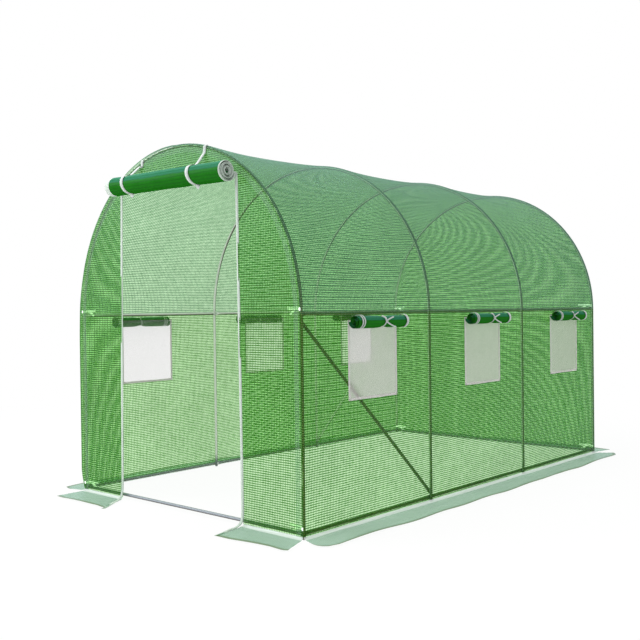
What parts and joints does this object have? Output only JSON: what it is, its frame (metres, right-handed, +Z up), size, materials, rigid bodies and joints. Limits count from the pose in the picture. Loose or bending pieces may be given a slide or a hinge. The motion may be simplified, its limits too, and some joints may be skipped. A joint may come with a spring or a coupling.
{
  "type": "polytunnel greenhouse",
  "caption": "Walk-in polytunnel greenhouse with a round-arched steel tube frame, a green reinforced film cover, roll-up door and netted roll-up windows.",
  "frame": {"origin": "centre of the footprint, skirts included, on the ground", "axes": "+Z up, +Y along the tunnel from the door to the back, +X to the right seen from in front of the door"},
  "size_m": [2.4596, 3.9396, 2.1917],
  "materials": {
    "galvanised_tube": "satin galvanised",
    "cover_film": "translucent green film with a fine woven grid",
    "skirt_film": "translucent green film lying on the ground",
    "insect_net": "fine white mesh",
    "rolled_film": "many rolled layers of green film",
    "webbing": "woven white tape"
  },
  "bodies": {
    "root": {"hoop_1_legs": "galvanised_tube", "hoop_2_legs": "galvanised_tube", "hoop_3_legs": "galvanised_tube", "hoop_4_legs": "galvanised_tube", "hoop_1_arch": "galvanised_tube", "hoop_2_arch": "galvanised_tube", "hoop_3_arch": "galvanised_tube", "hoop_4_arch": "galvanised_tube", "right_eaves_rail": "galvanised_tube", "left_eaves_rail": "galvanised_tube", "right_ground_rail": "galvanised_tube", "left_ground_rail": "galvanised_tube", "front_ground_rail": "galvanised_tube", "back_ground_rail": "galvanised_tube", "right_front_brace": "galvanised_tube", "left_back_brace": "galvanised_tube", "roof_bay_1": "cover_film", "roof_bay_2": "cover_film", "roof_bay_3": "cover_film", "right_wall_bay_1": "cover_film", "right_wall_bay_2": "cover_film", "right_wall_bay_3": "cover_film", "left_wall_bay_1": "cover_film", "left_wall_bay_2": "cover_film", "left_wall_bay_3": "cover_film", "front_panel_left": "cover_film", "front_panel_right": "cover_film", "front_panel_top": "cover_film", "back_panel": "cover_film", "front_right_skirt": "skirt_film", "front_left_skirt": "skirt_film", "right_skirt": "skirt_film", "left_skirt": "skirt_film", "back_skirt": "skirt_film", "right_window_nets": "insect_net", "left_window_nets": "insect_net", "right_window_rolls": "rolled_film", "left_window_rolls": "rolled_film", "door_roll": "rolled_film", "right_window_ties": "webbing", "left_window_ties": "webbing", "door_straps": "webbing", "door_bindings": "webbing", "corner_ties": "webbing"}
  },
  "joints": []
}
